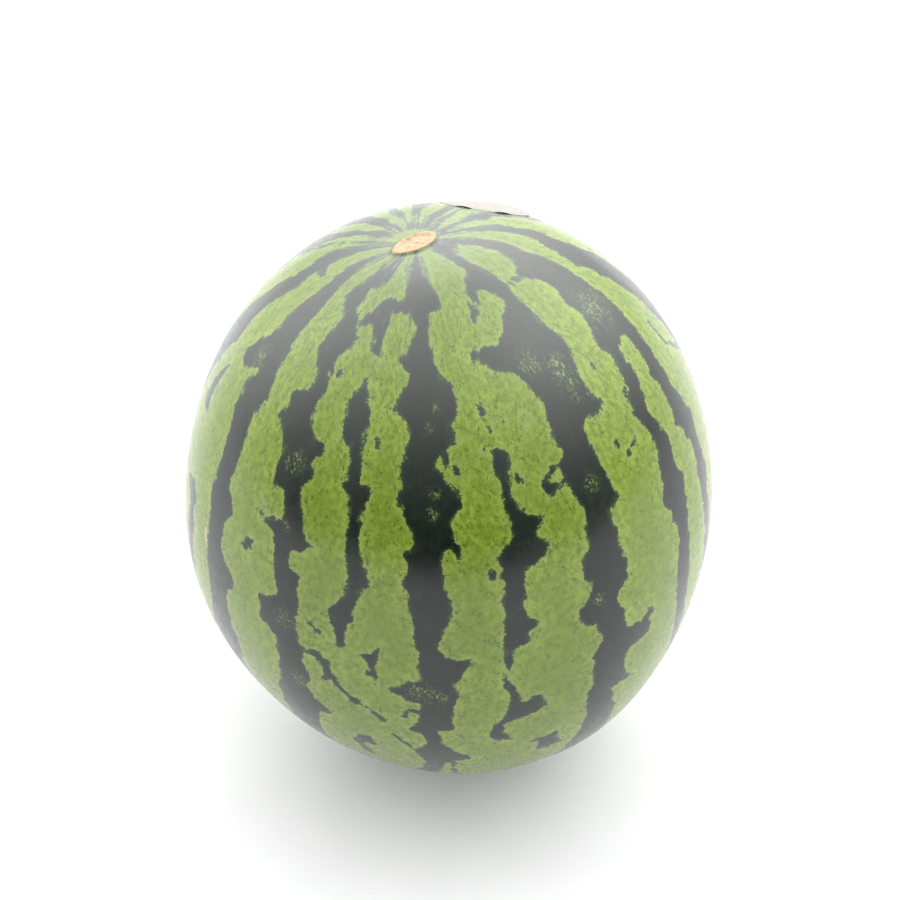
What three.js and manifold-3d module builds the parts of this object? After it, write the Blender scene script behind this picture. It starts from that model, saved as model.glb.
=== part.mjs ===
// A whole ripe watermelon and the paper sticker on it, in millimetres, +Z up.
// The fruit stands on its blossom end, on a small spot that its weight has flattened.
// The origin is in that spot, under the fruit's middle, and -Y is the fruit's front.
import * as THREE from "three";
import { mergeVertices } from "three/addons/utils/BufferGeometryUtils.js";
import Module from "manifold-3d";

const wasm = await Module();
wasm.setup();

// The body: an upright ellipsoid, cut off flat where it rests.
const HALF_WIDTH = 120;
const HALF_HEIGHT = 138.5;
const REST_FLATTENING = 2.6;
const CENTRE = new THREE.Vector3(0, 0, HALF_HEIGHT - REST_FLATTENING);

// The line from the blossom end to the stem end leans from the vertical.
const STEM_LEAN_LEFT = 6.0; // degrees towards -X
const STEM_LEAN_FRONT = 0.6; // degrees towards -Y

// Gentle unevenness of the body. Azimuth is from the front towards +X, and height is above the equator,
// both in degrees; rise is in millimetres, and a negative one is a flat.
const BUMPS = [
  { azimuth: 47, height: -39, rise: 2.0 },
  { azimuth: 75, height: -17, rise: -0.9 },
  { azimuth: -32, height: -45, rise: -2.2 },
  { azimuth: -80, height: -11, rise: 1.3 },
  { azimuth: 165, height: 49, rise: -1.9 },
  { azimuth: -150, height: -15, rise: 1.1 },
  { azimuth: 140, height: -28, rise: -1.2 },
];
const BUMP_SPREAD = 26; // degrees

// Ten broad, very shallow lobes run from end to end.
const LOBES = 10;
const LOBE_RISE = 0.3;

// The stem end: a shallow basin, and in it the corky scar where the stem was cut.
const BASIN_DEPTH = 1.8;
const BASIN_SPREAD = 21;
const SCAR_HALF_LENGTH = 10;
const SCAR_HALF_WIDTH = 6.1;
const SCAR_TIP = 1.2; // how far its one pointed end reaches past the oval
const SCAR_TIP_SPREAD = 16; // degrees
const SCAR_TURN = -57; // azimuth of the pointed end, in degrees
const SCAR_PROFILE = [
  // share of the scar's radius, and height above the skin
  [0, 0.7],
  [0.14, 0.4],
  [0.32, 0.65],
  [0.62, 0.4],
  [0.84, 1.0],
  [0.95, 0.9],
  [1.1, 0],
];

// The blossom end: a small corky dot in a pit, which lies inside the spot the fruit rests on.
const PIT_DEPTH = 3.2;
const PIT_SPREAD = 5;
const DOT_RADIUS = 2.2;
const DOT_RISE = 0.5;

// The sticker: a round piece of paper whose edge has cockled, because it can't follow the fruit's curve.
const STICKER_AZIMUTH = 150; // about the stem axis, from the front towards +X
const STICKER_FROM_STEM = 25; // degrees from the scar
const STICKER_RADIUS = 20;
const STICKER_THICKNESS = 0.4;
const STICKER_GAP = 0.3;
const FLUTES = 7; // the first is at the edge nearest the stem
const FLUTE_RISE = 1.1;
const FLUTE_START = 0.62; // share of the radius where the flutes begin
const PEEL_RISE = 2.8; // the far edge has come unstuck and stands off the curve
const PEEL_TURN = 190; // degrees, from the edge nearest the stem
const PEEL_SPREAD = 75; // degrees

// How finely the surfaces are divided
const SEGMENTS_ROUND = 80;
const STEP_DEGREES = 5;
const STICKER_SEGMENTS = 56;
const STICKER_RINGS = 7;

const radians = THREE.MathUtils.degToRad;
const bell = (distance, spread) => Math.exp(-((distance / spread) ** 2));

// Axes of growth: stem points at the scar, front and side are square to it.
const stem = new THREE.Vector3(
  -Math.tan(radians(STEM_LEAN_LEFT)),
  -Math.tan(radians(STEM_LEAN_FRONT)),
  1,
).normalize();
const front = new THREE.Vector3(0, -1, 0).projectOnPlane(stem).normalize();
const side = new THREE.Vector3().crossVectors(stem, front);

const bumps = BUMPS.map(({ azimuth, height, rise }) => ({
  rise,
  toward: new THREE.Vector3(
    Math.cos(radians(height)) * Math.sin(radians(azimuth)),
    -Math.cos(radians(height)) * Math.cos(radians(azimuth)),
    Math.sin(radians(height)),
  ),
}));

// The direction from the centre at an azimuth about the stem axis and an angle from the scar, in radians.
function directionAt(azimuth, fromStem) {
  return new THREE.Vector3()
    .addScaledVector(front, Math.sin(fromStem) * Math.cos(azimuth))
    .addScaledVector(side, Math.sin(fromStem) * Math.sin(azimuth))
    .addScaledVector(stem, Math.cos(fromStem));
}

// The body's reach from the centre in a direction, with its bumps but without the relief at its two ends.
function bodyReach(direction) {
  const ellipsoid =
    1 / Math.hypot(direction.x / HALF_WIDTH, direction.y / HALF_WIDTH, direction.z / HALF_HEIGHT);
  return bumps.reduce(
    (reach, { toward, rise }) =>
      reach + rise * bell(direction.angleTo(toward), radians(BUMP_SPREAD)),
    ellipsoid,
  );
}

// The scar's radius at an azimuth: an oval with one pointed end.
function scarRadius(azimuth) {
  const turned = azimuth - radians(SCAR_TURN);
  const oval =
    1 / Math.hypot(Math.cos(turned) / SCAR_HALF_LENGTH, Math.sin(turned) / SCAR_HALF_WIDTH);
  const fromTip = Math.acos(Math.cos(turned));
  return oval + SCAR_TIP * bell(fromTip, radians(SCAR_TIP_SPREAD));
}

// Height of the scar above the skin at a share of its radius.
function scarHeight(share) {
  const next = SCAR_PROFILE.findIndex(([at]) => at >= share);
  if (next < 0) return 0;
  if (next === 0) return SCAR_PROFILE[0][1];
  const [[fromShare, fromHeight], [toShare, toHeight]] = SCAR_PROFILE.slice(next - 1, next + 1);
  return THREE.MathUtils.mapLinear(share, fromShare, toShare, fromHeight, toHeight);
}

// Relief on the body: the lobes, the stem's basin and scar, and the blossom end's pit and dot.
function relief(azimuth, fromStem) {
  const stemDistance = fromStem * HALF_HEIGHT;
  const blossomDistance = (Math.PI - fromStem) * HALF_HEIGHT;
  return (
    LOBE_RISE * Math.cos(LOBES * azimuth) * Math.sin(fromStem) ** 2 -
    BASIN_DEPTH * bell(stemDistance, BASIN_SPREAD) +
    scarHeight(stemDistance / scarRadius(azimuth)) -
    PIT_DEPTH * bell(blossomDistance, PIT_SPREAD) +
    (blossomDistance < DOT_RADIUS ? DOT_RISE : 0)
  );
}

function skinPoint(azimuth, fromStem) {
  const direction = directionAt(azimuth, fromStem);
  return direction.multiplyScalar(bodyReach(direction) + relief(azimuth, fromStem)).add(CENTRE);
}

// Closes a stack of rings with a point at each end. All rings have the same number of points.
function closedSurface(firstPoint, rings, lastPoint) {
  const points = [firstPoint, ...rings.flat(), lastPoint];
  const around = rings[0].length;
  const last = points.length - 1;
  const index = [];
  for (let i = 0; i < around; i++) {
    const j = (i + 1) % around;
    index.push(0, 1 + i, 1 + j);
    for (let ring = 0; ring < rings.length - 1; ring++) {
      const upper = 1 + ring * around;
      const lower = upper + around;
      index.push(upper + i, lower + i, lower + j, upper + i, lower + j, upper + j);
    }
    const lowest = 1 + (rings.length - 1) * around;
    index.push(lowest + i, last, lowest + j);
  }
  return new THREE.BufferGeometry().setFromPoints(points).setIndex(index);
}

function solidFrom(geometry) {
  const bare = geometry.clone();
  bare.deleteAttribute("normal");
  bare.deleteAttribute("uv");
  const merged = mergeVertices(bare);
  return new wasm.Manifold(
    new wasm.Mesh({
      numProp: 3,
      vertProperties: merged.attributes.position.array,
      triVerts: new Uint32Array(merged.index.array),
    }),
  );
}

function geometryFrom(solid) {
  const mesh = solid.getMesh();
  const geometry = new THREE.BufferGeometry()
    .setAttribute("position", new THREE.BufferAttribute(mesh.vertProperties, 3))
    .setIndex(new THREE.BufferAttribute(mesh.triVerts, 1));
  geometry.computeVertexNormals();
  return geometry;
}

// The fruit in one piece. Its rings follow the scar's own outline near the stem, and are circles elsewhere.
function melonGeometry() {
  const azimuths = Array.from(
    { length: SEGMENTS_ROUND },
    (_, i) => (i / SEGMENTS_ROUND) * 2 * Math.PI,
  );
  const scarRings = SCAR_PROFILE.slice(1).map(([share]) => (azimuth) =>
    (share * scarRadius(azimuth)) / HALF_HEIGHT,
  );
  const nearStem = [6.5, 8.5, 11, 14, 18];
  const nearBlossom = [172, 174, 176, 177.3, 178.2, 178.8, 179.3];
  const between = [];
  for (let angle = 23; angle < nearBlossom[0]; angle += STEP_DEGREES) between.push(angle);
  const circles = [...nearStem, ...between, ...nearBlossom].map((angle) => () => radians(angle));
  const rings = [...scarRings, ...circles].map((fromStem) =>
    azimuths.map((azimuth) => skinPoint(azimuth, fromStem(azimuth))),
  );
  return closedSurface(skinPoint(0, 0), rings, skinPoint(0, Math.PI));
}

// Cuts off what would reach below the surface the fruit rests on.
function cutFlatAtFoot(geometry) {
  const below = new THREE.BoxGeometry(4 * HALF_WIDTH, 4 * HALF_WIDTH, HALF_WIDTH);
  below.translate(0, 0, -HALF_WIDTH / 2);
  return geometryFrom(solidFrom(geometry).subtract(solidFrom(below)));
}

// Lift of the sticker off the skin, at a share of its radius and a turn about its middle.
function edgeLift(share, turn) {
  const fromPeel = Math.acos(Math.cos(turn - radians(PEEL_TURN)));
  const peel = bell(fromPeel, radians(PEEL_SPREAD));
  const outward = THREE.MathUtils.smoothstep(share, FLUTE_START, 1);
  const flute = Math.max(0, Math.cos(FLUTES * turn));
  return PEEL_RISE * peel * share ** 2 + FLUTE_RISE * flute * outward * (1 - peel);
}

function stickerGeometry() {
  const middle = directionAt(radians(STICKER_AZIMUTH), radians(STICKER_FROM_STEM));
  const toStem = stem.clone().projectOnPlane(middle).normalize();
  const across = new THREE.Vector3().crossVectors(middle, toStem);
  const middleReach = bodyReach(middle);
  const pointAt = (share, turn, height) => {
    const spread = (share * STICKER_RADIUS) / middleReach;
    const direction = middle
      .clone()
      .multiplyScalar(Math.cos(spread))
      .addScaledVector(toStem, Math.sin(spread) * Math.cos(turn))
      .addScaledVector(across, Math.sin(spread) * Math.sin(turn));
    const azimuth = Math.atan2(direction.dot(side), direction.dot(front));
    const fromStem = direction.angleTo(stem);
    const lift = STICKER_GAP + edgeLift(share, turn) + height;
    const out = direction.clone().multiplyScalar(lift);
    return skinPoint(azimuth, fromStem).add(out);
  };
  const ringAt = (share, height) =>
    Array.from({ length: STICKER_SEGMENTS }, (_, i) =>
      pointAt(share, (i / STICKER_SEGMENTS) * 2 * Math.PI, height),
    );
  const shares = Array.from({ length: STICKER_RINGS }, (_, i) => (i + 1) / STICKER_RINGS);
  const top = shares.map((share) => ringAt(share, STICKER_THICKNESS));
  const underside = shares.toReversed().map((share) => ringAt(share, 0));
  return closedSurface(pointAt(0, 0, STICKER_THICKNESS), [...top, ...underside], pointAt(0, 0, 0));
}

function namedMesh(name, geometry, material) {
  const mesh = new THREE.Mesh(geometry, material);
  mesh.name = name;
  return mesh;
}

const rind = new THREE.MeshStandardMaterial({ color: 0x6f9a35, roughness: 0.42, metalness: 0 });
const paper = new THREE.MeshStandardMaterial({ color: 0xf4f1ec, roughness: 0.6, metalness: 0 });

const watermelon = new THREE.Group();
watermelon.add(namedMesh("melon", cutFlatAtFoot(melonGeometry()), rind));
watermelon.add(namedMesh("sticker", stickerGeometry(), paper));

export default watermelon;
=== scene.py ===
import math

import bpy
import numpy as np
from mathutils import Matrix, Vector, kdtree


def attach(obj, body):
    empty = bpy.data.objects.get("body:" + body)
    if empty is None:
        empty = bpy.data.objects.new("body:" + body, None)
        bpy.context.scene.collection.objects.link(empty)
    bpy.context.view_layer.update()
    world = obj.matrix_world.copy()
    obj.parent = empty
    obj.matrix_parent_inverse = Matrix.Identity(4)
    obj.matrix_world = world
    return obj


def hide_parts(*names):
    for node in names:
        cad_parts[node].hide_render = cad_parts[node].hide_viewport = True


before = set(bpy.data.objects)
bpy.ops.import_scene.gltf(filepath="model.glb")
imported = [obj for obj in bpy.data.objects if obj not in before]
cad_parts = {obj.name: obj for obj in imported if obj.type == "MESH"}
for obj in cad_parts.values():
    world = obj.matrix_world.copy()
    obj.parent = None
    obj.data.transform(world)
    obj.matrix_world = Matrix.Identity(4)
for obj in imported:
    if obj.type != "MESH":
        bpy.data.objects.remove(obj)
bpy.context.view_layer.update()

# A whole ripe watermelon, standing on its blossom end, with a round paper sticker by its stem scar.
# Angles are in degrees. On the skin, azimuth is about the line through the fruit's two ends, 0 at the
# front and growing towards +X, and an angle from the stem is 0 at the scar and 180 at the blossom end.

MM = 0.001


# The body, in metres

HALF_WIDTH = 120 * MM
HALF_HEIGHT = 138.5 * MM
REST_FLATTENING = 2.6 * MM
CENTRE = np.array([0, 0, HALF_HEIGHT - REST_FLATTENING])
STEM_LEAN_LEFT = 6.0
STEM_LEAN_FRONT = 0.6
BUMPS = [
    # azimuth about the vertical, height above the equator, rise
    (47, -39, 2.0 * MM),
    (75, -17, -0.9 * MM),
    (-32, -45, -2.2 * MM),
    (-80, -11, 1.3 * MM),
    (165, 49, -1.9 * MM),
    (-150, -15, 1.1 * MM),
    (140, -28, -1.2 * MM),
]
BUMP_SPREAD = 26
LOBES = 10
LOBE_RISE = 0.3 * MM
SKIN_INSET = 0.15 * MM  # keeps the fine skin inside the faceted solid

# The stem end
BASIN_DEPTH = 1.8 * MM
BASIN_SPREAD = 21 * MM
SCAR_HALF_LENGTH = 10 * MM
SCAR_HALF_WIDTH = 6.1 * MM
SCAR_TIP = 1.2 * MM
SCAR_TIP_SPREAD = 16
SCAR_TURN = -57
SCAR_SHARES = [0, 0.14, 0.32, 0.62, 0.84, 0.95, 1.1]  # of its radius
SCAR_HEIGHTS = [0.7, 0.4, 0.65, 0.4, 1.0, 0.9, 0]  # at those shares, in millimetres
SCAR_GRAIN = 0.12 * MM
SCAR_GRAIN_SIZE = 2.2 * MM
SCAR_GRAIN_SEED = 5
SCAR_GRAIN_END = 1.02  # share of the scar's radius
SCAR_GRAIN_FADE = 0.2

# The blossom end
PIT_DEPTH = 3.2 * MM
PIT_SPREAD = 5 * MM
DOT_RADIUS = 2.2 * MM
DOT_RISE = 0.5 * MM
DOT_SLOPE = 0.5 * MM

# The sticker
STICKER_AZIMUTH = 150
STICKER_FROM_STEM = 25
STICKER_RADIUS = 20 * MM
STICKER_GAP = 0.02 * MM
STICKER_THICKNESS = 0.07 * MM
STICKER_SEGMENTS = 168
STICKER_RINGS = 24

# Its lifted edges. A turn is about its middle, 0 towards the stem.
FLUTES = 7
FLUTE_RISE = 0.65 * MM
FLUTE_START = 0.62  # share of the sticker's radius
FLUTES_TURN = 25
FLUTES_SPREAD = 48
PEEL_RISE = 2.8 * MM
PEEL_TURN = 194
PEEL_SPREAD = 56


def unit(vector):
    return vector / np.linalg.norm(vector)


def bell(distance, spread):
    return np.exp(-((distance / spread) ** 2))


def compass(azimuth, height):
    """A direction in the scene's axes: azimuth from the front towards +X, and height above level."""
    a, h = math.radians(azimuth), math.radians(height)
    return math.cos(h) * math.sin(a), -math.cos(h) * math.cos(a), math.sin(h)


# The fruit's own axes: towards its stem, its front and its +X side
stem_slopes = [-math.tan(math.radians(lean)) for lean in (STEM_LEAN_LEFT, STEM_LEAN_FRONT)]
stem = unit(np.array([*stem_slopes, 1]))
front = np.array([0, -1, 0])
front = unit(front - front @ stem * stem)
side = np.cross(stem, front)


def direction_at(azimuth, from_stem):
    """Unit vectors from the centre to places on the skin."""
    a, s = np.radians(azimuth)[..., None], np.radians(from_stem)[..., None]
    return np.sin(s) * (np.cos(a) * front + np.sin(a) * side) + np.cos(s) * stem


def body_reach(direction):
    """How far the body reaches in a direction, without the relief at its two ends."""
    shares = direction / [HALF_WIDTH, HALF_WIDTH, HALF_HEIGHT]
    reach = 1 / np.linalg.norm(shares, axis=-1)
    for azimuth, height, rise in BUMPS:
        away = np.arccos(np.clip(direction @ np.array(compass(azimuth, height)), -1, 1))
        reach = reach + rise * bell(away, math.radians(BUMP_SPREAD))
    return reach


def scar_radius(azimuth):
    turned = np.radians(azimuth - SCAR_TURN)
    oval = 1 / np.hypot(np.cos(turned) / SCAR_HALF_LENGTH, np.sin(turned) / SCAR_HALF_WIDTH)
    from_tip = np.degrees(np.arccos(np.cos(turned)))
    return oval + SCAR_TIP * bell(from_tip, SCAR_TIP_SPREAD)


def waves(points, size, seed, count=24, shortest=0.7, longest=1.5):
    """Smooth noise of about unit height, as plane waves about size long in seeded directions."""
    random = np.random.default_rng(seed)
    toward = random.normal(size=(count, 3))
    lengths = random.uniform(shortest, longest, (count, 1))
    toward /= np.linalg.norm(toward, axis=1)[:, None] * size * lengths
    phase = random.uniform(0, 2 * math.pi, count)
    return np.sin(2 * math.pi * points @ toward.T + phase).sum(-1) * math.sqrt(2 / count)


def relief(azimuth, from_stem):
    """Height above the body: lobes, stem basin and scar, blossom pit and dot."""
    stem_distance = np.radians(from_stem) * HALF_HEIGHT
    blossom_distance = np.radians(180 - from_stem) * HALF_HEIGHT
    share = stem_distance / scar_radius(azimuth)
    scar = np.interp(share, SCAR_SHARES, SCAR_HEIGHTS) * MM
    grain = waves(direction_at(azimuth, from_stem) * HALF_HEIGHT, SCAR_GRAIN_SIZE, SCAR_GRAIN_SEED)
    grain *= SCAR_GRAIN * np.clip((SCAR_GRAIN_END - share) / SCAR_GRAIN_FADE, 0, 1)
    dot = DOT_RISE * np.clip((DOT_RADIUS - blossom_distance) / DOT_SLOPE, 0, 1)
    return (
        LOBE_RISE * np.cos(LOBES * np.radians(azimuth)) * np.sin(np.radians(from_stem)) ** 2
        - BASIN_DEPTH * bell(stem_distance, BASIN_SPREAD)
        + scar
        + grain
        - PIT_DEPTH * bell(blossom_distance, PIT_SPREAD)
        + dot
    )


def skin_points(azimuth, from_stem, lift=0):
    toward = direction_at(azimuth, from_stem)
    height = body_reach(toward) + relief(azimuth, from_stem) + lift
    points = CENTRE + toward * height[..., None]
    points[..., 2] = np.maximum(points[..., 2], 0)
    return points


# The camera, at the photograph's angle

CAMERA_HEIGHT = 40.3  # degrees above level
CAMERA_DISTANCE = 0.78
CAMERA_AIM_ABOVE_CENTRE = 0.0197
CAMERA_LENS = 67.6
CAMERA_SENSOR = 36


def make_camera():
    height = math.radians(CAMERA_HEIGHT)
    toward_camera = Vector((0, -math.cos(height), math.sin(height)))
    up = Vector((0, math.sin(height), math.cos(height)))
    place = Vector(CENTRE) + toward_camera * CAMERA_DISTANCE
    aim = Vector(CENTRE) + up * CAMERA_AIM_ABOVE_CENTRE
    data = bpy.data.cameras.new("camera")
    data.lens = CAMERA_LENS
    data.sensor_width = CAMERA_SENSOR
    data.clip_start = 0.01
    camera = bpy.data.objects.new("camera", data)
    camera.location = place
    camera.rotation_euler = (aim - place).to_track_quat("-Z", "Y").to_euler()
    bpy.context.scene.collection.objects.link(camera)
    bpy.context.scene.camera = camera


make_camera()


# The stripes. Each outline is a closed loop of places, (azimuth, angle from the stem).

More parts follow.
